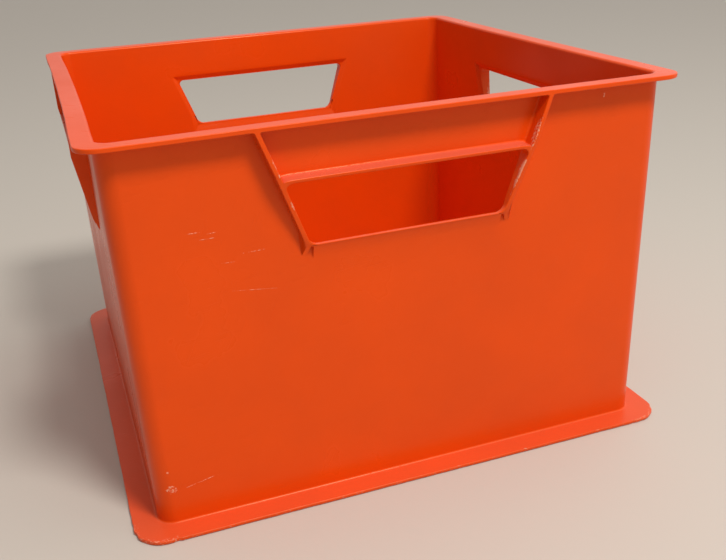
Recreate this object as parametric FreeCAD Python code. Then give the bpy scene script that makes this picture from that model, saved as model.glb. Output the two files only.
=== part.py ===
"""One-piece moulded milk bottle crate, divided at its natural features.

Frame: millimetres, +Z up, origin at the middle of the underside of the base.
+X runs to the right along the front wall and +Y runs from the front wall to
the back wall. The crate is the same on all four sides, so one side is built
at the front, facing -Y, and turned by quarter turns for the others. Left and
right in a name are as seen by somebody who faces that side from outside.
"""
import FreeCAD, Part
import math
import os

Vector = FreeCAD.Vector

# Driving dimensions
HEIGHT = 263.0
WALL = 3.0                      # thickness of walls, floor, flanges, ribs and lips
WALL_HALF_BASE = 183.0          # middle of the crate to a wall's outer face, at the floor
WALL_HALF_TOP = 187.0           # the same at the rim: the walls lean out to leave the mould
WALL_CORNER_RADIUS = 12.0       # outer radius of the upright corners
RIM_PROJECTION = 10.0
RIM_CORNER_RADIUS = 15.0
BASE_HALF = 200.0               # middle of the crate to the base flange's edge
BASE_CORNER_RADIUS = 20.0
STRAIGHT_HALF = 170.0           # half of the straight length between two corner pieces

# Hand hole: a trapezium that is wider at the top, framed by a lip and two ribs
SILL_Z = 184.0                  # lower edge of the hole
HEAD_Z = 227.0                  # upper edge of the hole, which is the lip's underside
SLANT = math.tan(math.radians(20.0))
HOLE_HALF_AT_SILL = 66.5
HOLE_CORNER_RADIUS = 5.0
RAMP_FOOT_Z = 174.0             # where the wall starts to bulge out towards the sill
RAMP_OUT = 3.0                  # how far the sill stands out of the wall
RIB_KINK_Z = 231.0              # above this height a rib reaches the rim's edge
RIB_DEPTH_AT_SILL = 4.0
RIB_FOOT_Z = 177.0

# Worked out from the dimensions above
FLOOR_Z = WALL
RIM_Z = HEIGHT - WALL           # underside of the rim
RIM_HALF = WALL_HALF_TOP + RIM_PROJECTION
LIP_TOP_Z = HEAD_Z + WALL
RIB_WIDTH = WALL * math.sqrt(1.0 + SLANT * SLANT)   # a rib's thickness, measured along X
HORN = 3.0 * HOLE_CORNER_RADIUS                     # height that takes in a rounded corner
REACH = 2.0 * BASE_HALF                             # longer than the crate in any direction

SIDES = ("front", "right", "back", "left")
CORNERS = ("front_right", "back_right", "back_left", "front_left")


def wall_half(z):
    """Middle of the crate to a wall's outer face at height z."""
    rise = (z - FLOOR_Z) / (HEIGHT - FLOOR_Z)
    return WALL_HALF_BASE + rise * (WALL_HALF_TOP - WALL_HALF_BASE)


def hole_half(z):
    """Middle of a hand hole to a rib's inner face at height z."""
    return HOLE_HALF_AT_SILL + (z - SILL_Z) * SLANT


def rounded_square(half, radius, z):
    """Closed wire of a square with round corners, centred on the Z axis."""
    middle = half - radius
    bulge = radius * math.sqrt(0.5)
    edges = []
    for turn in range(4):
        spin = FreeCAD.Rotation(Vector(0, 0, 1), 90.0 * turn)
        side_start = spin.multVec(Vector(-middle, -half, z))
        side_end = spin.multVec(Vector(middle, -half, z))
        arc_middle = spin.multVec(Vector(middle + bulge, -middle - bulge, z))
        arc_end = spin.multVec(Vector(half, -middle, z))
        edges.append(Part.LineSegment(side_start, side_end).toShape())
        edges.append(Part.Arc(side_end, arc_middle, arc_end).toShape())
    return Part.Wire(edges)


def block(half_low, half_high, radius, z_low, z_high):
    """Solid between two rounded squares, so its sides may lean."""
    low = rounded_square(half_low, radius, z_low)
    high = rounded_square(half_high, radius, z_high)
    return Part.makeLoft([low, high], True, True)


def polygon_prism(points, direction):
    """Straight prism over a flat polygon."""
    outline = Part.makePolygon(points + [points[0]])
    return Part.Face(outline).extrude(direction)


def elevation_prism(points):
    """Prism along Y whose outline is given as (x, z) on the front wall."""
    corners = [Vector(x, -REACH, z) for x, z in points]
    return polygon_prism(corners, Vector(0, REACH, 0))


def section_prism(points):
    """Prism along X whose outline is given as (distance out of the middle, z)."""
    corners = [Vector(-REACH, -out, z) for out, z in points]
    return polygon_prism(corners, Vector(2.0 * REACH, 0, 0))


def between_ribs(z_low, z_high):
    """Everything between the two ribs' inner faces, from z_low to z_high."""
    return elevation_prism([
        (-hole_half(z_low), z_low),
        (hole_half(z_low), z_low),
        (hole_half(z_high), z_high),
        (-hole_half(z_high), z_high),
    ])


def rounded_opening():
    """The hand hole's outline with its four corners rounded, as a prism along Y."""
    opening = between_ribs(SILL_Z, HEAD_Z)
    upright = [edge for edge in opening.Edges if edge.BoundBox.YLength > REACH / 2.0]
    return opening.makeFillet(HOLE_CORNER_RADIUS, upright)


def wall_slab(z_low, z_high):
    """Slab that a wall is cut from: it leans out as it rises, and has the wall's thickness."""
    return section_prism([
        (wall_half(z_low) - WALL, z_low),
        (wall_half(z_low), z_low),
        (wall_half(z_high), z_high),
        (wall_half(z_high) - WALL, z_high),
    ])


def frame_section():
    """Side view of what stands out of the wall round a hand hole."""
    return section_prism([
        (wall_half(RIB_FOOT_Z), RIB_FOOT_Z),
        (wall_half(SILL_Z) + RIB_DEPTH_AT_SILL, SILL_Z),
        (RIM_HALF, RIB_KINK_Z),
        (RIM_HALF, RIM_Z),
        (wall_half(RIM_Z), RIM_Z),
    ])


def lower_wall():
    """Plain wall between two corners, from the floor up to the foot of the ramp."""
    slab = wall_slab(FLOOR_Z, RAMP_FOOT_Z)
    span = elevation_prism([
        (-STRAIGHT_HALF, FLOOR_Z),
        (STRAIGHT_HALF, FLOOR_Z),
        (STRAIGHT_HALF, RAMP_FOOT_Z),
        (-STRAIGHT_HALF, RAMP_FOOT_Z),
    ])
    return slab.common(span)


def wall_beside_hole(hand):
    """Wall between a corner and a hand hole: hand is -1 on the left, 1 on the right."""
    slab = wall_slab(RAMP_FOOT_Z, RIM_Z)
    span = elevation_prism([
        (hand * STRAIGHT_HALF, RAMP_FOOT_Z),
        (hand * hole_half(RAMP_FOOT_Z), RAMP_FOOT_Z),
        (hand * hole_half(RIM_Z), RIM_Z),
        (hand * STRAIGHT_HALF, RIM_Z),
    ])
    return slab.common(span)


def grip_panel():
    """Wall above a hand hole, with the hole's rounded upper corners."""
    slab = wall_slab(HEAD_Z - HORN, RIM_Z)
    span = between_ribs(HEAD_Z - HORN, RIM_Z)
    return slab.common(span).cut(rounded_opening())


def grip_lip():
    """Ledge that the fingers close on, turned out of the wall above the hole."""
    span = between_ribs(HEAD_Z - HORN, LIP_TOP_Z)
    return frame_section().common(span).cut(rounded_opening())


def grip_rib(hand):
    """Slanted rib beside a hand hole, from the rim's edge down to the sill."""
    span = elevation_prism([
        (hand * hole_half(RIB_FOOT_Z), RIB_FOOT_Z),
        (hand * (hole_half(RIB_FOOT_Z) + RIB_WIDTH), RIB_FOOT_Z),
        (hand * (hole_half(RIM_Z) + RIB_WIDTH), RIM_Z),
        (hand * hole_half(RIM_Z), RIM_Z),
    ])
    return frame_section().common(span)


def sill():
    """Lower edge of a hand hole: the wall ramps out, keeping its thickness."""
    foot = wall_half(RAMP_FOOT_Z)
    edge = wall_half(SILL_Z) + RAMP_OUT
    top_z = SILL_Z + HORN
    section = section_prism([
        (foot - WALL, RAMP_FOOT_Z),
        (foot, RAMP_FOOT_Z),
        (edge, SILL_Z),
        (edge, top_z),
        (edge - WALL, top_z),
        (edge - WALL, SILL_Z),
    ])
    span = between_ribs(RAMP_FOOT_Z, top_z)
    return section.common(span).cut(rounded_opening())


def wall_ring():
    """All four walls and their upright corners, without hand holes."""
    outer = block(wall_half(FLOOR_Z), wall_half(RIM_Z), WALL_CORNER_RADIUS, FLOOR_Z, RIM_Z)
    inner_radius = WALL_CORNER_RADIUS - WALL
    inner = block(wall_half(FLOOR_Z) - WALL, wall_half(RIM_Z) - WALL, inner_radius, FLOOR_Z, RIM_Z)
    return outer.cut(inner)


def rim_ring():
    """Flange round the top, whose inner face goes on with the walls' lean."""
    flange = block(RIM_HALF, RIM_HALF, RIM_CORNER_RADIUS, RIM_Z, HEIGHT)
    inner_radius = WALL_CORNER_RADIUS - WALL
    mouth = block(wall_half(RIM_Z) - WALL, WALL_HALF_TOP - WALL, inner_radius, RIM_Z, HEIGHT)
    return flange.cut(mouth)


def floor_plate():
    """Flat floor, which the walls stand on."""
    return block(WALL_HALF_BASE, WALL_HALF_BASE, WALL_CORNER_RADIUS, 0.0, FLOOR_Z)


def base_ring():
    """Flange round the bottom, level with the floor."""
    flange = block(BASE_HALF, BASE_HALF, BASE_CORNER_RADIUS, 0.0, FLOOR_Z)
    return flange.cut(floor_plate())


def front_stretch(ring):
    """Straight front stretch of a ring, between its two front corners."""
    stretch = Part.makeBox(2.0 * STRAIGHT_HALF, REACH, HEIGHT, Vector(-STRAIGHT_HALF, -REACH, 0))
    return ring.common(stretch)


def front_right_corner(ring):
    """Front right corner of a ring."""
    corner = Part.makeBox(REACH, REACH, HEIGHT, Vector(STRAIGHT_HALF, -REACH - STRAIGHT_HALF, 0))
    return ring.common(corner)


def quarter_turned(shape, turns):
    """Copy of a shape, turned about the crate's upright axis."""
    copy = shape.copy()
    copy.rotate(Vector(0, 0, 0), Vector(0, 0, 1), 90.0 * turns)
    return copy


def crate_nodes():
    """Every node's name and shape."""
    side_parts = {
        "{}_base_flange": front_stretch(base_ring()),
        "{}_wall": lower_wall(),
        "{}_wall_beside_hole_left": wall_beside_hole(-1),
        "{}_wall_beside_hole_right": wall_beside_hole(1),
        "{}_sill": sill(),
        "{}_grip_panel": grip_panel(),
        "{}_grip_lip": grip_lip(),
        "{}_grip_rib_left": grip_rib(-1),
        "{}_grip_rib_right": grip_rib(1),
        "{}_rim": front_stretch(rim_ring()),
    }
    corner_parts = {
        "{}_base_corner": front_right_corner(base_ring()),
        "{}_corner_post": front_right_corner(wall_ring()),
        "{}_rim_corner": front_right_corner(rim_ring()),
    }
    nodes = {"floor": floor_plate()}
    for names, parts in ((SIDES, side_parts), (CORNERS, corner_parts)):
        for turns, place in enumerate(names):
            for pattern, shape in parts.items():
                nodes[pattern.format(place)] = quarter_turned(shape, turns)
    return nodes


def main():
    os.makedirs("parts", exist_ok=True)
    for name, shape in crate_nodes().items():
        solids = shape.Solids
        if len(solids) != 1 or not solids[0].isValid():
            raise ValueError(f"{name} is not one sound solid")
        solids[0].exportStep(f"parts/{name}.step")


main()
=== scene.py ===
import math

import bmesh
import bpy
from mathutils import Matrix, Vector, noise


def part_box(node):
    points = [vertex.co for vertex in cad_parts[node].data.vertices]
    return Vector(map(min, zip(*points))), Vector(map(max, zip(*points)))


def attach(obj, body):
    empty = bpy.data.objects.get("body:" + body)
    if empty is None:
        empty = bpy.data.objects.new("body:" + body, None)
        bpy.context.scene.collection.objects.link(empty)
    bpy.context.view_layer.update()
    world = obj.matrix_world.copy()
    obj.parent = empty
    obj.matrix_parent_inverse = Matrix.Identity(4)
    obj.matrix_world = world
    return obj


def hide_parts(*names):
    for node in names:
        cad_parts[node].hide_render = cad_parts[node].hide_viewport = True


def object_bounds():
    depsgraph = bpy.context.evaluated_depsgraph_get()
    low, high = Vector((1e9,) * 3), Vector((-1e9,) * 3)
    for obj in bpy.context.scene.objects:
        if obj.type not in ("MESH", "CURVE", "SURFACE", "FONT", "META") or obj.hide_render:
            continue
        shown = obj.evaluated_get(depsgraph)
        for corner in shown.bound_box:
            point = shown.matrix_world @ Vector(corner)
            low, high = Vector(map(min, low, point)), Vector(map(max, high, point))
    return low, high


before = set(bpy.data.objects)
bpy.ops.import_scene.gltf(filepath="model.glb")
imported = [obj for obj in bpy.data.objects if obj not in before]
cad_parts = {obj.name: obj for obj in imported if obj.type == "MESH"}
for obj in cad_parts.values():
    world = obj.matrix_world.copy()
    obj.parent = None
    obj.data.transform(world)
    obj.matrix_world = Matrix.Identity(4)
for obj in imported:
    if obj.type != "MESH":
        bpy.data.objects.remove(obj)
CAD_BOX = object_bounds()

# Milk bottle crate: the finished surfaces of a one-piece moulded crate, over its packed
# CAD part. Everything is in metres: +Z is up, +X runs to the right along the front wall
# and +Y from the front wall to the back wall.
#
# A wall is first modelled on the bench: upright, with upright ribs, its outer face at
# y = -WALL_FOOT. settle() then leans it outwards, slants the ribs and bows it in a little.

bl_info = {
    "name": "Milk Bottle Crate",
    "version": (1, 0, 0),
    "blender": (4, 5, 0),
    "location": "3D View > Sidebar > Crate",
    "description": "Models a one-piece moulded crate over its packed CAD part",
    "category": "Add Mesh",
}

MM = 0.001
TOUCH = 0.00001                 # two places this close are the same place
SHARP = 0.8                     # radians: a fold sharper than this is an edge

# Places that the CAD part gives
BASE_EDGE = CAD_BOX[1].x
TOP = CAD_BOX[1].z
FLOOR_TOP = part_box("floor")[1].z
WALL_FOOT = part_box("floor")[1].x
RIM_EDGE = -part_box("front_rim")[0].y
RIM_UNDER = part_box("front_rim")[0].z
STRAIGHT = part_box("front_rim")[1].x
WALL_HEAD = -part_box("front_wall_beside_hole_left")[0].y
LIP_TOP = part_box("front_grip_lip")[1].z
RAMP_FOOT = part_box("front_sill")[0].z
RIB_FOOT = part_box("front_grip_rib_left")[0].z
PANEL_HALF_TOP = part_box("front_grip_panel")[1].x
RIB_HALF_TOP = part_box("front_grip_rib_right")[1].x

WALL = FLOOR_TOP                # one thickness all over
HEAD = LIP_TOP - WALL           # upper edge of a hand hole
RIB_WIDTH = RIB_HALF_TOP - PANEL_HALF_TOP
LEAN = (WALL_HEAD - WALL_FOOT) / (RIM_UNDER - FLOOR_TOP)

RIB_SLANT = math.tan(math.radians(20.0))
SLANT_START = 150.0 * MM        # below this height nothing in a wall leans sideways
BASE_CORNER = 20.0 * MM         # the base flange's corners, seen from above
RIM_CORNER = 15.0 * MM
CORNER_STEPS = 14
PIVOT = STRAIGHT + MM           # where the corners' upright axes stand, in x and in y
CORNER_WALL = WALL_FOOT + 3.0 * MM - PIVOT      # a corner post's radius with its fillet
FLOOR_STRIP = 6.0 * MM          # the floor's edge is modelled with the walls
FLOOR_CORNER = 3.0 * MM
LIP_DROP_END = 1.8 * MM         # how far the lip turns down at a rib, and just before it
LIP_DROP_NEAR = 0.4 * MM
SILL_BAND = MM                  # the frame's height just under the sill
FRAME_CORNER = 1.2 * MM         # rounding of the wall's inner edge round a hand hole
SET_BACK_STEPS = 5
FLAT = math.radians(0.2)        # facets that bend less than this are joined
SMOOTH_BEND = math.radians(40.0)

# Cuts that keep the lean and the bow even, and between which the edges are nicked
END_MARGIN = 8.0 * MM
END_MARGIN_NEAR = 3.4 * MM
LIP_MARGIN = 5.0 * MM
LIP_MARGIN_HIGH = 12.0 * MM
RIM_MARGIN = 2.0 * MM
ACROSS_CUTS = 10
UP_CUTS = 7
FLOOR_CUTS = 5

# Wear: about how deep the deepest nicks go, and how whitish they are
NICK_CUTS = 15                  # divides an edge to about a millimetre
BASE_NICK = (0.45 * MM, 0.8)
RIM_NICK = (0.3 * MM, 0.6)
LEFT_RIB_NICK = (0.35 * MM, 1.05)
RIGHT_RIB_NICK = (0.8 * MM, 1.4)
CORNER_NICK = 1.0 * MM
FRONT_LEFT_CORNER_NICK = 2.4 * MM
CORNER_SCUFF = 0.85
CORNER_TIP = 24.0 * MM          # a base corner is nicked outside this radius
SLOW_NICKS = 0.09               # how many patches of nicks, and how many nicks, to a millimetre
QUICK_NICKS = 0.55
CORNER_NICKS = 0.3

# The plastic: how strong its sheen is and its tint, and how rough it is from clean to worn
SHEEN = 0.3
SHEEN_TINT = (1.0, 0.80, 0.50, 1.0)
PLASTIC_IOR = 1.54
ROUGHNESS = (0.26, 0.36)
SCRATCH_ROUGHNESS = 0.12
SCUFF_ROUGHNESS = 0.4

# Patterns, in patches to a metre
TONES = 14.0
GRAINS = 800.0
PEEL = 500.0
WAVES = 22.0
NAP = 300.0
HAIR = (25.0 * MM, 0.7 * MM, 25.0 * MM)         # a hair scratch's length, spacing and depth
HAIR_TURNS = (0.15, 1.1)                        # the two ways that they run, in radians

SIDES = ("front", "right", "back", "left")
CORNERS = ("front_right", "back_right", "back_left", "front_left")

# The CAD nodes that a side piece and a corner piece stand for
SIDE_NODES = (
    "base_flange", "wall", "wall_beside_hole_left", "wall_beside_hole_right", "sill",
    "grip_panel", "grip_lip", "grip_rib_left", "grip_rib_right", "rim",
)
CORNER_NODES = ("base_corner", "corner_post", "rim_corner")

# Where the plastic is scuffed or scratched: the middle and how far it reaches each way, in
# millimetres, and how far its right-hand end is turned down, in degrees
SCUFFS = (
    ((-172.5, -184.0, 29.5), (10.0, 6.0, 7.5), 0.0),
    ((-153.0, -183.5, 30.5), (28.0, 4.0, 0.8), -12.0),
    ((-173.0, -184.0, 43.0), (2.5, 4.0, 2.0), 0.0),
    ((-138.0, -186.0, 203.2), (12.0, 3.0, 0.6), 1.5),
    ((-126.0, -186.0, 201.5), (9.0, 3.0, 0.5), -4.0),
    ((-129.0, -186.0, 198.3), (11.0, 3.0, 0.6), 0.0),
    ((-102.0, -186.0, 185.5), (19.0, 3.0, 0.7), -1.0),
    ((-118.0, -186.0, 181.0), (11.0, 3.0, 0.5), 2.0),
    ((-102.0, -185.5, 160.0), (44.0, 3.0, 0.5), 7.0),
    ((140.5, -187.0, 253.5), (1.6, 3.0, 6.5), 0.0),
    ((177.0, -187.0, 183.6), (1.2, 4.0, 1.0), 0.0),
    ((85.6, -195.0, 236.0), (2.4, 8.0, 27.0), 20.0),
    ((74.0, -191.0, 205.0), (1.8, 6.0, 9.0), 20.0),
    ((-84.6, -195.0, 233.0), (2.0, 8.0, 3.0), -20.0),
    ((-77.5, -192.0, 213.0), (2.0, 8.0, 8.0), -20.0),
    ((27.3, -200.0, 3.0), (3.0, 2.0, 2.0), 0.0),
    ((80.9, -200.0, 3.0), (3.0, 2.0, 2.0), 0.0),
    ((142.9, -200.0, 3.0), (3.0, 2.0, 2.0), 0.0),
)

# The camera, in degrees and metres
CAMERA_PLACE = (-0.2077, -0.6978, 0.3826)
CAMERA_HEADING = 18.816         # to the right of straight ahead
CAMERA_TILT = -22.956
CAMERA_ROLL = -2.983
CAMERA_LENS = 45.195            # millimetres
CAMERA_SENSOR = 36.0

ROOM_LIGHT = 0.44               # the room's even light
ROOM_GRADIENT = (0.34, 0.04, 0.27)      # how much brighter it is to the right, behind, above
ROOM_TINT = (1.0, 0.96, 0.91, 1.0)
GROUND_SIZE = 12.0

# Lights: name, place, size across in metres, watts, tint
LIGHTS = (
    ("key", (0.32, -1.15, 1.92), 0.5, 34.0, (1.0, 0.97, 0.92)),
)


def length(name, description, millimetres):
    """A size that a user may change."""
    return bpy.props.FloatProperty(
        name=name,
        description=description,
        default=millimetres * MM,
        min=0.0,
        unit="LENGTH",
        subtype="DISTANCE",
        precision=5,
    )


class CrateSizes(bpy.types.PropertyGroup):
    """Sizes of the details that finish the CAD part."""

    sill: length("Sill height", "Height of a hand hole's lower edge", 184.0)
    rib_kink: length("Rib kink height", "Height above which a rib reaches the rim's edge", 233.5)
    frame_depth: length("Frame depth", "How far the ribs and the ramp stand out at the sill", 3.5)
    ledge_fall: length("Ledge fall", "How far the lip's ledge falls towards its front", 0.7)
    ramp_half: length("Ramp half width", "Middle of a hand hole to the end of its ramp", 65.0)
    hole_corner: length("Hole corner radius", "Rounding of a hand hole's corners", 5.0)
    set_back: length("Hole set-back", "How far the inside of a wall draws back at a hole", 2.4)
    set_back_width: length("Set-back width", "Width of wall over which it draws back", 5.0)
    edge: length("Edge rounding", "Rounding of the flanges' and ribs' free edges", 0.6)
    under_edge: length("Underside rounding", "Rounding under the base flange's free edge", 1.5)
    mouth: length("Mouth rounding", "Rounding of the rim's inner edge", 2.0)
    foot_fillet: length("Foot fillet", "Hollow rounding where a wall meets the base", 1.6)
    rim_fillet: length("Rim fillet", "Hollow rounding under the rim and outside the ribs", 0.9)
    pocket_fillet: length("Pocket fillet", "Hollow rounding round the panel over a hole", 1.3)
    bow: length("Wall bow", "How far a wall bows in at the middle", 1.3)


def linear(code):
    """An sRGB hex colour as linear red, green and blue."""
    parts = [int(code[start:start + 2], 16) / 255.0 for start in (0, 2, 4)]
    return [p / 12.92 if p <= 0.04045 else ((p + 0.055) / 1.055) ** 2.4 for p in parts]


def colour(name, description, code):
    """A colour that a user may change."""
    return bpy.props.FloatVectorProperty(
        name=name, description=description, default=linear(code), min=0.0, max=1.0, subtype="COLOR"
    )


class CrateColours(bpy.types.PropertyGroup):
    """Colours of the crate and of what it stands on."""

    plastic: colour("Plastic", "The plastic where it is clean", "E84A06")
    plastic_worn: colour("Handled plastic", "The plastic where it is worn and dusty", "DE470A")
    # The scuff colour also serves the painted highlight along the base flange's outer edge.
    scuff: colour("Scuffs", "Plastic scraped to a whitish bloom", "F3B294")
    # Painted sheen: the colour that upward faces at the lip's ledges and the base flange's top are
    # lightened towards, as if lit from above.
    bloom_and_sheen: colour("Bloom", "Greyish bloom on the ledges that hands hold", "B4766A")
    ground: colour("Ground", "What the crate stands on", "C2BBB2")


def sizes():
    """The sizes as the user has set them."""
    return bpy.context.scene.crate_sizes


# ---------------------------------------------------------------- modelling by hand

def begin(name, low, high):
    """Add a box between two corners and go into edit mode with nothing selected."""
    bpy.ops.object.select_all(action="DESELECT")
    low = Vector(low)
    high = Vector(high)
    bpy.ops.mesh.primitive_cube_add(size=1.0, location=(low + high) / 2.0, scale=high - low)
    piece = bpy.context.object
    piece.name = name
    piece.data.name = name
    bpy.ops.object.transform_apply(location=True, rotation=True, scale=True)
    bpy.ops.object.mode_set(mode="EDIT")
    bpy.ops.mesh.select_all(action="DESELECT")
    return piece


def put_in_order():
    """Write the mesh down afresh from low to high, so that every run shapes it alike."""
    shape = bmesh.from_edit_mesh(bpy.context.object.data)
    corners = sorted(shape.verts, key=lambda vertex: tuple(vertex.co))
    places = [vertex.co.copy() for vertex in corners]
    for rank, vertex in enumerate(corners):
        vertex.index = rank
    rings = []
    for face in shape.faces:
        ring = [vertex.index for vertex in face.verts]
        start = ring.index(min(ring))
        rings.append(ring[start:] + ring[:start])
    shape.clear()
    fresh = [shape.verts.new(place) for place in places]
    for ring in sorted(rings):
        shape.faces.new([fresh[rank] for rank in ring])
    shape.normal_update()
    bmesh.update_edit_mesh(bpy.context.object.data)


def within(value, allowed):
    """Whether a coordinate is at a place, or between two."""
    if allowed is None:
        return True
    low, high = allowed if isinstance(allowed, tuple) else (allowed, allowed)
    return low - TOUCH <= value <= high + TOUCH


def pick(kind, x=None, y=None, z=None, bend=None, across=None, along=None, more=False):
    """Select the vertices, edges or faces that lie wholly within a range of places.

    bend is "ridge" or "valley" for the edges that stand out or lie in a hollow. across
    leaves out the edges that run along that axis, and along takes only those. more keeps
    what is selected already.
    """
    bpy.ops.mesh.select_mode(type=kind)
    if not more:
        bpy.ops.mesh.select_all(action="DESELECT")
    shape = bmesh.from_edit_mesh(bpy.context.object.data)
    shape.normal_update()
    items = {"VERT": shape.verts, "EDGE": shape.edges, "FACE": shape.faces}[kind]
    for item in items:
        corners = [item] if kind == "VERT" else item.verts
        inside = all(
            within(v.co.x, x) and within(v.co.y, y) and within(v.co.z, z) for v in corners
        )
        if inside and bend is not None:
            fold = item.calc_face_angle_signed(0.0)
            inside = fold > SHARP if bend == "ridge" else fold < -SHARP
        if inside and (across or along):
            run = (item.verts[1].co - item.verts[0].co).normalized()
            inside = (abs(run["xyz".index(across or along)]) > 0.9) == bool(along)
        if inside:
            item.select_set(True)
    bmesh.update_edit_mesh(bpy.context.object.data)


def extrude(x=0.0, y=0.0, z=0.0):
    """Extrude what is selected and leave the new end selected."""
    bpy.ops.mesh.extrude_region_move(TRANSFORM_OT_translate={"value": (x, y, z)})


def cut(axis, place):
    """Cut the whole piece with a plane across an axis."""
    bpy.ops.mesh.select_all(action="SELECT")
    middle = [0.0, 0.0, 0.0]
    normal = [0.0, 0.0, 0.0]
    middle["xyz".index(axis)] = place
    normal["xyz".index(axis)] = 1.0
    bpy.ops.mesh.bisect(plane_co=middle, plane_no=normal, threshold=TOUCH)
    put_in_order()


def round_off(radius, steps):
    """Round the selected edges."""
    bpy.ops.mesh.bevel(
        offset=radius,
        offset_type="OFFSET",
        segments=steps,
        profile=0.5,
        affect="EDGES",
        clamp_overlap=False,
        miter_outer="SHARP",
        miter_inner="SHARP",
    )
    put_in_order()


def join_flats():
    """Join the facets that lie in one plane."""
    put_in_order()
    bpy.ops.mesh.select_all(action="SELECT")
    bpy.ops.mesh.remove_doubles(threshold=TOUCH / 2.0)
    put_in_order()
    bpy.ops.mesh.select_all(action="SELECT")
    bpy.ops.mesh.dissolve_limited(angle_limit=FLAT)
    put_in_order()


def lean_at(z):
    """How far the walls have leaned out at a height."""
    return LEAN * max(0.0, z - FLOOR_TOP)


def hole_half():
    """Half the width of a hand hole at its sill."""
    return PANEL_HALF_TOP - (RIM_UNDER - sizes().sill) * RIB_SLANT


def stand_out(x, z):
    """How far the rim, ribs, lip and ramp stand out of the bench wall."""
    size = sizes()
    full = RIM_EDGE - WALL_FOOT
    kink = full - lean_at(size.rib_kink)
    if z >= size.rib_kink:
        return full - lean_at(z)
    if z >= size.sill:
        rise = (z - size.sill) / (size.rib_kink - size.sill)
        return size.frame_depth + rise * (kink - size.frame_depth)
    foot = RAMP_FOOT if abs(x) <= size.ramp_half + TOUCH else RIB_FOOT
    return size.frame_depth * (z - foot) / (size.sill - foot)


def pull_out_selected():
    """Extrude the selected faces and bring each new corner to its own depth."""
    extrude(y=-MM)
    shape = bmesh.from_edit_mesh(bpy.context.object.data)
    for vertex in shape.verts:
        if vertex.select:
            vertex.co.y = -WALL_FOOT - stand_out(vertex.co.x, vertex.co.z)
    bmesh.update_edit_mesh(bpy.context.object.data)
    put_in_order()


def square_section(name, x_low, x_high):
    """An upright wall with its base flange, the floor's edge and square corners."""
    piece = begin(name, (x_low, -WALL_FOOT, 0.0), (x_high, WALL - WALL_FOOT, TOP))
    cut("z", FLOOR_TOP)
    cut("z", RIM_UNDER)
    pick("FACE", y=-WALL_FOOT, z=(0.0, FLOOR_TOP))
    extrude(y=WALL_FOOT - BASE_EDGE)
    pick("FACE", y=WALL - WALL_FOOT, z=(0.0, FLOOR_TOP))
    extrude(y=FLOOR_STRIP)
    put_in_order()
    return piece


def round_section():
    """Round what every stretch of the wall has: its feet, mouth and flanges."""
    size = sizes()
    inner = WALL - WALL_FOOT
    pick("EDGE", y=(-WALL_FOOT, inner), z=FLOOR_TOP, bend="valley", across="y")
    round_off(size.foot_fillet, 5)
    pick("EDGE", y=inner, z=TOP, bend="ridge", across="y")
    round_off(size.mouth, 4)
    pick("EDGE", y=-BASE_EDGE, z=FLOOR_TOP, bend="ridge", across="z")
    round_off(size.edge, 3)
    pick("EDGE", y=-BASE_EDGE, z=0.0, bend="ridge", across="z")
    round_off(size.under_edge, 4)
    pick("EDGE", y=(-BASE_EDGE, -WALL_FOOT - 4.0 * MM), z=TOP, bend="ridge", across="y")
    round_off(size.edge, 3)


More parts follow.
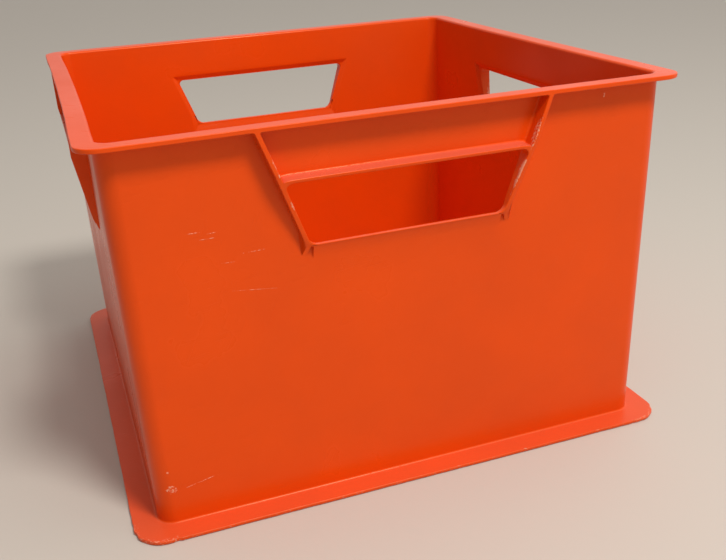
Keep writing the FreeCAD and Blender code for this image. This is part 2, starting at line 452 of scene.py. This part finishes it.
def side():
    """The front side: wall, flanges and hand hole, still on the bench."""
    size = sizes()
    inner = WALL - WALL_FOOT
    half = hole_half()
    rib = half + RIB_WIDTH
    ring = half + size.set_back_width
    band = size.sill - SILL_BAND
    piece = square_section("side_bench", -STRAIGHT, STRAIGHT)
    for x in (rib, half, size.ramp_half, half - size.hole_corner):
        cut("x", x)
        cut("x", -x)
    cut("x", 0.0)
    for z in (RAMP_FOOT, RIB_FOOT, band, size.sill, HEAD, LIP_TOP, size.rib_kink):
        cut("z", z)
    # The lip turns down a little where it runs into the ribs.
    for x, drop in ((half, LIP_DROP_END), (size.ramp_half, LIP_DROP_NEAR)):
        for hand in (-1.0, 1.0):
            pick("VERT", x=hand * x, y=-WALL_FOOT, z=LIP_TOP)
            bpy.ops.transform.translate(value=(0.0, 0.0, -drop))
    pick("FACE", y=-WALL_FOOT, z=(RIM_UNDER, TOP))
    pick("FACE", x=(-rib, -half), y=-WALL_FOOT, z=(RIB_FOOT, RIM_UNDER), more=True)
    pick("FACE", x=(half, rib), y=-WALL_FOOT, z=(RIB_FOOT, RIM_UNDER), more=True)
    pick("FACE", x=(-half, half), y=-WALL_FOOT, z=(band, LIP_TOP), more=True)
    pick("FACE", x=(-size.ramp_half, size.ramp_half), y=-WALL_FOOT, z=(RAMP_FOOT, band), more=True)
    pull_out_selected()
    # The lip's ledge falls towards its front.
    pick("VERT", x=(-size.ramp_half, size.ramp_half), y=(-BASE_EDGE, -WALL_FOOT - 5.0 * MM),
         z=(LIP_TOP - MM, LIP_TOP))
    bpy.ops.transform.translate(value=(0.0, 0.0, -size.ledge_fall))
    join_flats()
    # Inside, the wall draws back towards the hole all round and follows the frame outwards.
    for step in range(SET_BACK_STEPS):
        share = step / (SET_BACK_STEPS - 1.0)
        cut("x", half + size.set_back_width * share)
        cut("x", -half - size.set_back_width * share)
        cut("z", HEAD + size.set_back_width * share)
        cut("z", RAMP_FOOT + (size.sill - RAMP_FOOT) * share)
    pick("VERT", x=(-ring, ring), y=inner, z=(RAMP_FOOT, HEAD + size.set_back_width))
    shape = bmesh.from_edit_mesh(piece.data)
    for vertex in shape.verts:
        if vertex.select:
            near = min(
                smooth_step(ring - abs(vertex.co.x), 0.0, size.set_back_width),
                smooth_step(HEAD + size.set_back_width - vertex.co.z, 0.0, size.set_back_width),
                smooth_step(vertex.co.z, RAMP_FOOT, size.sill),
            )
            vertex.co.y -= size.set_back * near
    bmesh.update_edit_mesh(piece.data)
    join_flats()
    bpy.ops.object.mode_set(mode="OBJECT")

    begin("hole_cutter", (-half, -BASE_EDGE, size.sill), (half, -WALL_FOOT / 2.0, HEAD))
    pick("EDGE", z=size.sill, bend="ridge", across="x")
    pick("EDGE", z=HEAD, bend="ridge", across="x", more=True)
    round_off(size.hole_corner, 6)
    bpy.ops.object.mode_set(mode="OBJECT")
    cutter = bpy.context.object
    bpy.context.view_layer.objects.active = piece
    boolean = piece.modifiers.new("hand hole", "BOOLEAN")
    boolean.operation = "DIFFERENCE"
    boolean.solver = "EXACT"
    boolean.object = cutter
    bpy.ops.object.modifier_apply(modifier=boolean.name)
    bpy.data.objects.remove(cutter)
    bpy.ops.object.mode_set(mode="EDIT")
    join_flats()
    round_hand_hole(half, rib)
    round_section()
    # Cut so finely that the wall can lean, slant and bow evenly.
    for x in (half - END_MARGIN, half - END_MARGIN_NEAR):
        cut("x", x)
        cut("x", -x)
    for step in range(1 - ACROSS_CUTS, ACROSS_CUTS):
        cut("x", step * STRAIGHT / ACROSS_CUTS)
    cut("z", size.sill + END_MARGIN)
    cut("z", HEAD - END_MARGIN)
    cut("z", LIP_TOP + LIP_MARGIN)
    cut("z", LIP_TOP + LIP_MARGIN_HIGH)
    for step in range(1, UP_CUTS):
        cut("z", step * RAMP_FOOT / UP_CUTS)
    bpy.ops.object.mode_set(mode="OBJECT")
    return piece


def round_hand_hole(half, rib):
    """Round a hand hole's edges and the hollows round its frame."""
    size = sizes()
    inner = WALL - WALL_FOOT
    pick("EDGE", x=(-half, half), y=inner - size.set_back, z=(size.sill, HEAD),
         bend="ridge", across="y")
    round_off(FRAME_CORNER, 3)
    pick("EDGE", x=(-half, half), y=(-BASE_EDGE, -WALL_FOOT), z=(LIP_TOP - 2.0 * MM, RIM_UNDER),
         bend="valley")
    round_off(size.pocket_fillet, 4)
    for low, high in ((-STRAIGHT, -rib), (rib, STRAIGHT)):
        pick("EDGE", x=(low, high), y=(-BASE_EDGE, -WALL_FOOT), z=(size.sill, RIM_UNDER),
             bend="valley")
        round_off(size.rim_fillet, 4)
    pick("EDGE", y=(-BASE_EDGE, -WALL_FOOT - MM), z=(size.sill, RIM_UNDER), bend="ridge",
         across="y")
    round_off(size.edge, 3)


def corner():
    """The front right corner: the section turned about the upright corner's axis."""
    size = sizes()
    piece = square_section("corner_bench", STRAIGHT, PIVOT)
    pick("FACE", y=-WALL_FOOT, z=(RIM_UNDER, TOP))
    pull_out_selected()
    pick("EDGE", y=-WALL_FOOT, z=RIM_UNDER, bend="valley", across="y")
    round_off(size.rim_fillet, 4)
    pick("EDGE", y=(-BASE_EDGE, -WALL_FOOT - MM), z=RIM_UNDER, bend="ridge", across="y")
    round_off(size.edge, 3)
    round_section()
    for step in range(1, UP_CUTS):
        cut("z", step * RAMP_FOOT / UP_CUTS)
    for z in (size.sill + END_MARGIN, HEAD - END_MARGIN, LIP_TOP + LIP_MARGIN_HIGH):
        cut("z", z)
    # With no window, a spin of minus 90 degrees turns from the front to the right.
    pick("FACE", x=PIVOT)
    bpy.ops.mesh.spin(
        steps=CORNER_STEPS,
        angle=math.radians(-90.0),
        center=(PIVOT, -PIVOT, 0.0),
        axis=(0.0, 0.0, 1.0),
    )
    pick("FACE", y=-PIVOT)
    extrude(y=MM)
    bpy.ops.mesh.select_all(action="SELECT")
    bpy.ops.mesh.remove_doubles(threshold=TOUCH / 2.0)
    bpy.ops.mesh.normals_make_consistent(inside=False)
    put_in_order()
    bpy.ops.object.mode_set(mode="OBJECT")
    square_up_corner(piece)
    return piece


def square_up_corner(piece):
    """Draw the flanges' free edges out at a corner, where they turn more tightly."""
    for vertex in piece.data.vertices:
        across = vertex.co.x - PIVOT
        ahead = -vertex.co.y - PIVOT
        reach = math.hypot(across, ahead)
        if across <= TOUCH or ahead <= TOUCH:
            continue
        base = vertex.co.z < TOP / 2.0
        edge = BASE_EDGE if base else RIM_EDGE - lean_at(vertex.co.z)
        radius = BASE_CORNER if base else RIM_CORNER
        if reach <= CORNER_WALL:
            continue
        full = edge - PIVOT
        goal = outline_reach(across / reach, ahead / reach, full, radius)
        stretch = (goal - CORNER_WALL) / (full - CORNER_WALL)
        reach_new = CORNER_WALL + (reach - CORNER_WALL) * stretch
        vertex.co.x = PIVOT + across * reach_new / reach
        vertex.co.y = -PIVOT - ahead * reach_new / reach


def outline_reach(across, ahead, full, radius):
    """How far a ray runs before it meets a square corner rounded to a radius."""
    middle = full - radius
    for run, other in ((ahead, across), (across, ahead)):
        if other * full <= middle * run:
            return full / run
    along = middle * (across + ahead)
    return along + math.sqrt(along * along - 2.0 * middle * middle + radius * radius)


def settle_side(place):
    """Where a place on the bench goes on the finished front side."""
    x, y, z = place
    size = sizes()
    half = hole_half()
    drift = (max(z, RAMP_FOOT) - size.sill) * RIB_SLANT
    drift *= smooth_step(z, SLANT_START, RAMP_FOOT)
    away = abs(x)
    if away < half:
        share = away / half
        if z < size.sill - TOUCH:
            share *= smooth_step(away, size.ramp_half, half)
    else:
        share = 1.0 - smooth_step(away, half + 12.0 * MM, STRAIGHT - 5.0 * MM)
    across = x + math.copysign(drift * share, x) if x else 0.0
    rise = smooth_step(z, FLOOR_TOP, TOP * 0.8)
    middle = max(0.0, 1.0 - (x / STRAIGHT) ** 2) ** 2
    return Vector((across, y - lean_at(z) + size.bow * rise * middle, z))


def settle_corner(place):
    """Where a place on the bench goes on the finished front right corner."""
    x, y, z = place
    lean = lean_at(z)
    if x > STRAIGHT + 0.5 * MM:
        x += lean
    if y < -STRAIGHT - 0.5 * MM:
        y -= lean
    return Vector((x, y, z))


def smooth_step(value, low, high):
    """0 below low, 1 above high, and an even S between."""
    share = min(1.0, max(0.0, (value - low) / (high - low)))
    return share * share * (3.0 - 2.0 * share)


def settle(piece, move):
    """Bring a piece from the bench to its place on the crate."""
    for vertex in piece.data.vertices:
        vertex.co = move(vertex.co)


def smooth(piece):
    """Shade the roundings smooth and keep the flats flat."""
    bpy.ops.object.select_all(action="DESELECT")
    piece.select_set(True)
    bpy.context.view_layer.objects.active = piece
    bpy.ops.object.shade_smooth_by_angle(angle=SMOOTH_BEND)
    weighted = piece.modifiers.new("even shading", "WEIGHTED_NORMAL")
    weighted.keep_sharp = True
    bpy.ops.object.modifier_apply(modifier=weighted.name)


def copy_of(piece, name):
    """A copy of a piece with a mesh of its own."""
    bpy.ops.object.select_all(action="DESELECT")
    piece.select_set(True)
    bpy.context.view_layer.objects.active = piece
    bpy.ops.object.duplicate(linked=False)
    copy = bpy.context.object
    copy.name = name
    copy.data.name = name
    return copy


def turn(piece, quarters):
    """Turn a piece about the crate's upright axis, in quarter turns towards the right."""
    bpy.ops.object.select_all(action="DESELECT")
    piece.select_set(True)
    bpy.context.view_layer.objects.active = piece
    bpy.ops.transform.rotate(
        value=math.radians(-90.0 * quarters), orient_axis="Z", center_override=(0.0, 0.0, 0.0)
    )
    bpy.ops.object.transform_apply(location=True, rotation=True, scale=True)


def wear_edge(seed, depth, scuff):
    """Divide the selected edges to about a millimetre and push them in by chance.

    The deeper a place is pushed in, the more whitish it is scuffed, up to scuff.
    """
    bpy.ops.mesh.subdivide(number_cuts=NICK_CUTS)
    shape = bmesh.from_edit_mesh(bpy.context.object.data)
    layer = shape.verts.layers.float["scuff"]
    for vertex in shape.verts:
        if not vertex.select:
            continue
        place = vertex.co * 1000.0
        slow = noise.noise(Vector((place.x * SLOW_NICKS, place.z * SLOW_NICKS, seed * 7.3)))
        quick = noise.noise(
            Vector((place.x * QUICK_NICKS, place.z * QUICK_NICKS, seed * 3.1 + 40.0))
        )
        nick = max(0.0, slow + 0.1) * (0.4 + abs(quick) * 1.6)
        vertex.co.y += depth * nick
        vertex[layer] = scuff * min(1.0, 0.55 + nick)
    bmesh.update_edit_mesh(bpy.context.object.data)


def wear_side(piece, seed):
    """Nick the free edges of a side, which knock against other crates."""
    size = sizes()
    half = hole_half()
    bpy.ops.object.select_all(action="DESELECT")
    piece.select_set(True)
    bpy.context.view_layer.objects.active = piece
    piece.data.attributes.new("scuff", "FLOAT", "POINT")
    bpy.ops.object.mode_set(mode="EDIT")
    pick("EDGE", y=(-BASE_EDGE, -BASE_EDGE + 0.5 * MM), z=(0.0, FLOOR_TOP), along="x")
    wear_edge(seed, *BASE_NICK)
    rim = -RIM_EDGE + lean_at(RIM_UNDER)
    pick("EDGE", y=(-RIM_EDGE, rim + 0.5 * MM), z=(RIM_UNDER, TOP), along="x")
    wear_edge(seed + 10, *RIM_NICK)
    for hand, nick in ((-1.0, LEFT_RIB_NICK), (1.0, RIGHT_RIB_NICK)):
        near = sorted((hand * half, hand * (half + size.edge)))
        for low, high in (
            (size.sill + END_MARGIN, HEAD - END_MARGIN),
            (LIP_TOP + LIP_MARGIN, RIM_UNDER - RIM_MARGIN),
        ):
            pick(
                "EDGE",
                x=(near[0], near[1]),
                y=(-RIM_EDGE, -WALL_FOOT - 3.0 * MM),
                z=(low, high),
                along="z",
            )
            wear_edge(seed + 20, *nick)
    bpy.ops.object.mode_set(mode="OBJECT")


def wear_corner(piece, seed, depth):
    """Nick the base flange's corner."""
    scuff = piece.data.attributes.new("scuff", "FLOAT", "POINT")
    for vertex in piece.data.vertices:
        across = vertex.co.x - PIVOT
        ahead = -vertex.co.y - PIVOT
        if vertex.co.z > TOP / 2.0 or math.hypot(across, ahead) < CORNER_TIP:
            continue
        if across > 2.0 * MM and ahead > 2.0 * MM:
            place = vertex.co * 1000.0
            spot = Vector((place.x * CORNER_NICKS, place.y * CORNER_NICKS, seed * 5.7))
            nick = max(0.0, noise.noise(spot))
            vertex.co.x -= depth * nick
            vertex.co.y += depth * nick
            scuff.data[vertex.index].value = CORNER_SCUFF + 0.1 * nick


def floor():
    """The floor between the walls' feet."""
    half = WALL_FOOT - WALL - FLOOR_STRIP
    piece = begin("floor_plate", (-half, -half, 0.0), (half, half, FLOOR_TOP))
    for x in (-half, half):
        for y in (-half, half):
            pick("EDGE", x=x, y=y, more=True)
    round_off(FLOOR_CORNER, 4)
    for step in range(1 - FLOOR_CUTS, FLOOR_CUTS):
        cut("x", step * half / FLOOR_CUTS)
        cut("y", step * half / FLOOR_CUTS)
    bpy.ops.object.mode_set(mode="OBJECT")
    return piece


# ---------------------------------------------------------------- materials

def add_node(tree, kind, inputs=None, **settings):
    """Add a node with its settings, and give its inputs values or links."""
    node = tree.nodes.new(kind)
    for name, value in settings.items():
        setattr(node, name, value)
    for name, value in (inputs or {}).items():
        if isinstance(value, bpy.types.NodeSocket):
            tree.links.new(value, node.inputs[name])
        else:
            node.inputs[name].default_value = value
    return node


def moulded_polyethylene():
    """Injection-moulded high-density polyethylene, dyed orange.

    It gives the eye a deep, even orange under a soft gloss, a faint orange peel from the
    mould, hair scratches, and whitish scuffs where it has knocked against other crates. It
    also carries a painted highlight along the base flange's outer edge, and a painted sheen
    on upward faces at the lip's ledges and, fainter, at the base flange's and the floor's top.
    """
    name = "moulded high-density polyethylene"
    if name in bpy.data.materials:
        return bpy.data.materials[name]
    colours = bpy.context.scene.crate_colours
    material = bpy.data.materials.new(name)
    material.use_nodes = True
    tree = material.node_tree
    shader = tree.nodes["Principled BSDF"]
    place = add_node(tree, "ShaderNodeTexCoord").outputs["Object"]
    apart = add_node(tree, "ShaderNodeSeparateXYZ", {0: place})
    side_x = add_node(tree, "ShaderNodeMath", {0: apart.outputs["X"]}, operation="ABSOLUTE")
    side_y = add_node(tree, "ShaderNodeMath", {0: apart.outputs["Y"]}, operation="ABSOLUTE")
    reach = add_node(
        tree, "ShaderNodeMath", {0: side_x.outputs[0], 1: side_y.outputs[0]}, operation="MAXIMUM"
    )

    # Dye and dirt vary over 70 mm or so, by a few percent.
    cloud = add_node(tree, "ShaderNodeTexNoise", {"Vector": place, "Scale": TONES, "Detail": 4.0})
    tone = add_node(
        tree,
        "ShaderNodeMapRange",
        {"Value": cloud.outputs["Fac"], "From Min": 0.3, "From Max": 0.7},
    )
    body = add_node(
        tree,
        "ShaderNodeMix",
        {0: tone.outputs[0], 6: (*colours.plastic, 1.0), 7: (*colours.plastic_worn, 1.0)},
        data_type="RGBA",
    )

    # Whitish scuffs lie on the ribs' and flanges' free edges, and where SCUFFS puts them, in
    # grains of 1.25 mm, coarse enough to show. The base flange's outermost 1.4 mm is lightened
    # the same way as a painted highlight, where its rounded edge would catch the light.
    grain = add_node(tree, "ShaderNodeTexNoise", {"Vector": place, "Scale": GRAINS, "Detail": 4.0})
    base_edge_highlight = add_node(
        tree,
        # Painted highlight: the base flange's outermost 1.4 mm is lightened towards the scuff
        # colour, as if its rounded edge caught the light; the real scuffs are added to it below.
        "ShaderNodeMapRange",
        {"Value": reach.outputs[0], "From Min": BASE_EDGE - 1.4 * MM, "From Max": BASE_EDGE,
         "To Max": 0.80},
    )
    worn = base_edge_highlight.outputs[0]
    for middle, reach_of, lean in SCUFFS:
        near = add_node(
            tree,
            "ShaderNodeMapping",
            {
                "Vector": place,
                "Location": [m * MM for m in middle],
                "Rotation": (0.0, math.radians(lean), 0.0),
                "Scale": [r * MM for r in reach_of],
            },
            vector_type="TEXTURE",
        )
        ball = add_node(tree, "ShaderNodeVectorMath", {0: near.outputs[0]}, operation="LENGTH")
        spot = add_node(
            tree,
            "ShaderNodeMapRange",
            {"Value": ball.outputs["Value"], "From Min": 1.0, "From Max": 0.3},
        )
        worn = add_node(
            tree, "ShaderNodeMath", {0: worn, 1: spot.outputs[0]}, operation="MAXIMUM"
        ).outputs[0]
    knocked = add_node(tree, "ShaderNodeAttribute", attribute_name="scuff").outputs["Fac"]
    worn = add_node(
        tree, "ShaderNodeMath", {0: worn, 1: knocked}, operation="MAXIMUM"
    ).outputs[0]
    # From here worn and scuffed carry the painted highlight along the base flange's edge together
    # with the real scuffs, into the colour, the roughness and the relief.
    lift = add_node(
        tree, "ShaderNodeMath", {0: worn, 1: 0.75, 2: -0.75}, operation="MULTIPLY_ADD"
    )
    mask = add_node(
        tree, "ShaderNodeMath", {0: grain.outputs["Fac"], 1: lift.outputs[0]}, operation="ADD"
    )
    scuffed = add_node(
        tree,
        "ShaderNodeMapRange",
        {"Value": mask.outputs[0], "From Min": 0.42, "From Max": 0.58, "To Max": 0.7},
    )
    coat = add_node(
        tree,
        "ShaderNodeMix",
        {0: scuffed.outputs[0], 6: body.outputs[2], 7: (*colours.scuff, 1.0)},
        data_type="RGBA",
    )

    # Painted sheen: upward faces at the lip's ledges are lightened towards a greyish pink, as if
    # lit from above, and everything at the height of the base flange's and the floor's top more
    # faintly.
    facing = add_node(tree, "ShaderNodeNewGeometry").outputs["Normal"]
    upward = add_node(tree, "ShaderNodeSeparateXYZ", {0: facing}).outputs["Z"]
    upward = add_node(
        tree, "ShaderNodeMapRange", {"Value": upward, "From Min": 0.6, "From Max": 0.95}
    )
    level = add_node(
        tree,
        "ShaderNodeMath",
        {0: apart.outputs["Z"], 1: LIP_TOP - MM, 2: 2.5 * MM},
        operation="COMPARE",
    )
    bloom_and_sheen = add_node(
        tree, "ShaderNodeMath", {0: upward.outputs[0], 1: level.outputs[0]}, operation="MULTIPLY"
    )
    bloom_and_sheen = add_node(tree, "ShaderNodeMath", {0: bloom_and_sheen.outputs[0], 1: 0.35}, operation="MULTIPLY")
    low = add_node(
        tree,
        "ShaderNodeMath",
        {0: apart.outputs["Z"], 1: FLOOR_TOP, 2: 0.5 * MM},
        operation="COMPARE",
    )
    bloom_and_sheen = add_node(
        tree,
        "ShaderNodeMath",
        {0: low.outputs[0], 1: 0.13, 2: bloom_and_sheen.outputs[0]},
        operation="MULTIPLY_ADD",
    )
    # The painted sheen is mixed into the base colour here.
    coat = add_node(
        tree,
        "ShaderNodeMix",
        {0: bloom_and_sheen.outputs[0], 6: coat.outputs[2], 7: (*colours.bloom_and_sheen, 1.0)},
        data_type="RGBA",
    )
    tree.links.new(coat.outputs[2], shader.inputs["Base Color"])

    # Hair scratches lie in the walls, 0.3 mm wide and centimetres long, in two directions.
    # They are drawn on a sheet of x + y across and z up, which runs along every wall.
    along = add_node(
        tree, "ShaderNodeMath", {0: apart.outputs["X"], 1: apart.outputs["Y"]}, operation="ADD"
    )
    off = add_node(
        tree,
        "ShaderNodeMath",
        {0: apart.outputs["X"], 1: apart.outputs["Y"]},
        operation="SUBTRACT",
    )
    sheet = add_node(
        tree,
        "ShaderNodeCombineXYZ",
        {"X": along.outputs[0], "Y": apart.outputs["Z"], "Z": off.outputs[0]},
    )
    marks = []
    for angle in HAIR_TURNS:
        lie = add_node(
            tree,
            "ShaderNodeMapping",
            {
                "Vector": sheet.outputs[0],
                "Rotation": (0.0, 0.0, angle),
                "Scale": HAIR,
            },
            vector_type="TEXTURE",
        )
        hair = add_node(
            tree,
            "ShaderNodeTexNoise",
            {"Vector": lie.outputs[0], "Scale": 1.0, "Detail": 1.0},
        )
        mark = add_node(
            tree,
            "ShaderNodeMapRange",
            {"Value": hair.outputs["Fac"], "From Min": 0.70, "From Max": 0.76},
        )
        marks.append(mark.outputs[0])
    scratch = add_node(tree, "ShaderNodeMath", {0: marks[0], 1: marks[1]}, operation="MAXIMUM")

    rough = add_node(
        tree,
        "ShaderNodeMapRange",
        {
            "Value": cloud.outputs["Fac"],
            "From Min": 0.3,
            "From Max": 0.7,
            "To Min": ROUGHNESS[0],
            "To Max": ROUGHNESS[1],
        },
    )
    rough = add_node(
        tree,
        "ShaderNodeMath",
        {0: scratch.outputs[0], 1: SCRATCH_ROUGHNESS, 2: rough.outputs[0]},
        operation="MULTIPLY_ADD",
    )
    rough = add_node(
        tree,
        "ShaderNodeMath",
        {0: scuffed.outputs[0], 1: SCUFF_ROUGHNESS, 2: rough.outputs[0]},
        operation="MULTIPLY_ADD",
    )
    tree.links.new(rough.outputs[0], shader.inputs["Roughness"])
    shader.inputs["IOR"].default_value = PLASTIC_IOR
    shader.inputs["Specular IOR Level"].default_value = SHEEN
    shader.inputs["Specular Tint"].default_value = SHEEN_TINT

    # Orange peel 2 mm across and about 10 microns deep, over a wave of some 45 mm that
    # shrinkage leaves. Scratches are cut in, and scuffs stand proud.
    peel = add_node(tree, "ShaderNodeTexNoise", {"Vector": place, "Scale": PEEL, "Detail": 2.0})
    wave = add_node(tree, "ShaderNodeTexNoise", {"Vector": place, "Scale": WAVES, "Detail": 1.0})
    relief = add_node(
        tree,
        "ShaderNodeMath",
        {0: wave.outputs["Fac"], 1: 5.0, 2: peel.outputs["Fac"]},
        operation="MULTIPLY_ADD",
    )
    relief = add_node(
        tree,
        "ShaderNodeMath",
        {0: scratch.outputs[0], 1: -1.5, 2: relief.outputs[0]},
        operation="MULTIPLY_ADD",
    )
    relief = add_node(
        tree,
        "ShaderNodeMath",
        {0: scuffed.outputs[0], 1: 4.0, 2: relief.outputs[0]},
        operation="MULTIPLY_ADD",
    )
    bump = add_node(
        tree,
        "ShaderNodeBump",
        {"Height": relief.outputs[0], "Strength": 1.0, "Distance": 0.03 * MM},
    )
    tree.links.new(bump.outputs[0], shader.inputs["Normal"])
    return material


def painted_ground():
    """Matt pale paint on a board: an even, soft ground that only shows shadows."""
    material = bpy.data.materials.new("matt pale paint")
    material.use_nodes = True
    tree = material.node_tree
    shader = tree.nodes["Principled BSDF"]
    shader.inputs["Base Color"].default_value = (*bpy.context.scene.crate_colours.ground, 1.0)
    shader.inputs["Roughness"].default_value = 0.7
    place = add_node(tree, "ShaderNodeTexCoord").outputs["Object"]
    nap = add_node(tree, "ShaderNodeTexNoise", {"Vector": place, "Scale": NAP})
    bump = add_node(
        tree, "ShaderNodeBump", {"Height": nap.outputs["Fac"], "Distance": 0.05 * MM}
    )
    tree.links.new(bump.outputs[0], shader.inputs["Normal"])
    return material


# ---------------------------------------------------------------- operators

def finish_piece(piece, nodes):
    """Shade a piece, give it its plastic, and let it stand for its CAD nodes."""
    smooth(piece)
    piece.data.materials.clear()
    piece.data.materials.append(moulded_polyethylene())
    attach(piece, "root")
    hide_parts(*nodes)


class CRATE_OT_floor(bpy.types.Operator):
    """Add the floor between the walls"""

    bl_idname = "crate.floor"
    bl_label = "Floor"

    def execute(self, context):
        finish_piece(floor(), ["floor"])
        return {"FINISHED"}


class CRATE_OT_sides(bpy.types.Operator):
    """Add the four walls with their flanges and hand holes"""

    bl_idname = "crate.sides"
    bl_label = "Four sides"

    def execute(self, context):
        bench = side()
        for quarters, name in enumerate(SIDES):
            piece = copy_of(bench, name + "_side")
            wear_side(piece, quarters + 1)
            settle(piece, settle_side)
            turn(piece, quarters)
            finish_piece(piece, [name + "_" + part for part in SIDE_NODES])
        bpy.data.objects.remove(bench)
        return {"FINISHED"}


class CRATE_OT_corners(bpy.types.Operator):
    """Add the four upright corners with their flanges"""

    bl_idname = "crate.corners"
    bl_label = "Four corners"

    def execute(self, context):
        bench = corner()
        for quarters, name in enumerate(CORNERS):
            piece = copy_of(bench, name + "_corner")
            depth = FRONT_LEFT_CORNER_NICK if name == "front_left" else CORNER_NICK
            wear_corner(piece, quarters + 1, depth)
            settle(piece, settle_corner)
            turn(piece, quarters)
            finish_piece(piece, [name + "_" + part for part in CORNER_NODES])
        bpy.data.objects.remove(bench)
        return {"FINISHED"}


class CRATE_OT_stage(bpy.types.Operator):
    """Set up the ground, the lights and the camera"""

    bl_idname = "crate.stage"
    bl_label = "Stage"

    def execute(self, context):
        scene = context.scene
        bpy.ops.object.select_all(action="DESELECT")
        bpy.ops.mesh.primitive_plane_add(size=GROUND_SIZE, location=(0.0, 0.0, 0.0))
        ground = context.object
        ground.name = "ground"
        ground.data.materials.append(painted_ground())

        world = bpy.data.worlds.new("pale room")
        world.use_nodes = True
        # The room is brighter overhead and to the right than to the left.
        tree = world.node_tree
        sky = tree.nodes["Background"]
        sky.inputs["Color"].default_value = ROOM_TINT
        way = add_node(tree, "ShaderNodeTexCoord").outputs["Generated"]
        lit = add_node(
            tree, "ShaderNodeVectorMath", {0: way, 1: ROOM_GRADIENT}, operation="DOT_PRODUCT"
        )
        glow = add_node(
            tree, "ShaderNodeMath", {0: lit.outputs["Value"], 1: ROOM_LIGHT}, operation="ADD"
        )
        tree.links.new(glow.outputs[0], sky.inputs["Strength"])
        scene.world = world

        for name, place, size, power, tint in LIGHTS:
            lamp = bpy.data.lights.new(name, "AREA")
            lamp.shape = "DISK"
            lamp.size = size
            lamp.energy = power
            lamp.color = tint
            holder = bpy.data.objects.new(name, lamp)
            scene.collection.objects.link(holder)
            holder.location = place
            aim = Vector((0.0, 0.0, TOP / 2.0)) - Vector(place)
            holder.rotation_euler = aim.to_track_quat("-Z", "Y").to_euler()

        heading = math.radians(CAMERA_HEADING)
        tilt = math.radians(CAMERA_TILT)
        roll = math.radians(CAMERA_ROLL)
        level = math.cos(tilt)
        ahead = Vector((math.sin(heading) * level, math.cos(heading) * level, math.sin(tilt)))
        right = Vector((math.cos(heading), -math.sin(heading), 0.0))
        up = right.cross(ahead)
        across = right * math.cos(roll) + up * math.sin(roll)
        above = up * math.cos(roll) - right * math.sin(roll)
        turned = Matrix((across, above, -ahead)).transposed().to_4x4()
        lens = bpy.data.cameras.new("camera")
        lens.sensor_width = CAMERA_SENSOR
        lens.lens = CAMERA_LENS
        lens.clip_start = 0.01
        camera = bpy.data.objects.new("camera", lens)
        camera.matrix_world = Matrix.Translation(CAMERA_PLACE) @ turned
        scene.collection.objects.link(camera)
        scene.camera = camera
        scene.view_settings.view_transform = "Standard"
        return {"FINISHED"}


class CRATE_PT_crate(bpy.types.Panel):
    """Lists the crate's pieces and settings"""

    bl_label = "Milk Bottle Crate"
    bl_idname = "CRATE_PT_crate"
    bl_space_type = "VIEW_3D"
    bl_region_type = "UI"
    bl_category = "Crate"

    def draw(self, context):
        layout = self.layout
        for operator in (CRATE_OT_stage, CRATE_OT_floor, CRATE_OT_sides, CRATE_OT_corners):
            layout.operator(operator.bl_idname)
        for group in (context.scene.crate_sizes, context.scene.crate_colours):
            for name in group.__annotations__:
                layout.prop(group, name)


CLASSES = (
    CrateSizes,
    CrateColours,
    CRATE_OT_stage,
    CRATE_OT_floor,
    CRATE_OT_sides,
    CRATE_OT_corners,
    CRATE_PT_crate,
)


def register():
    """Register the classes and hang the settings on the scene."""
    for one in CLASSES:
        bpy.utils.register_class(one)
    bpy.types.Scene.crate_sizes = bpy.props.PointerProperty(type=CrateSizes)
    bpy.types.Scene.crate_colours = bpy.props.PointerProperty(type=CrateColours)


def unregister():
    """Take everything away again."""
    del bpy.types.Scene.crate_colours
    del bpy.types.Scene.crate_sizes
    for one in reversed(CLASSES):
        bpy.utils.unregister_class(one)


def main():
    """Build the crate."""
    register()
    bpy.ops.crate.stage()
    bpy.ops.crate.floor()
    bpy.ops.crate.sides()
    bpy.ops.crate.corners()


if __name__ == "__main__":
    main()
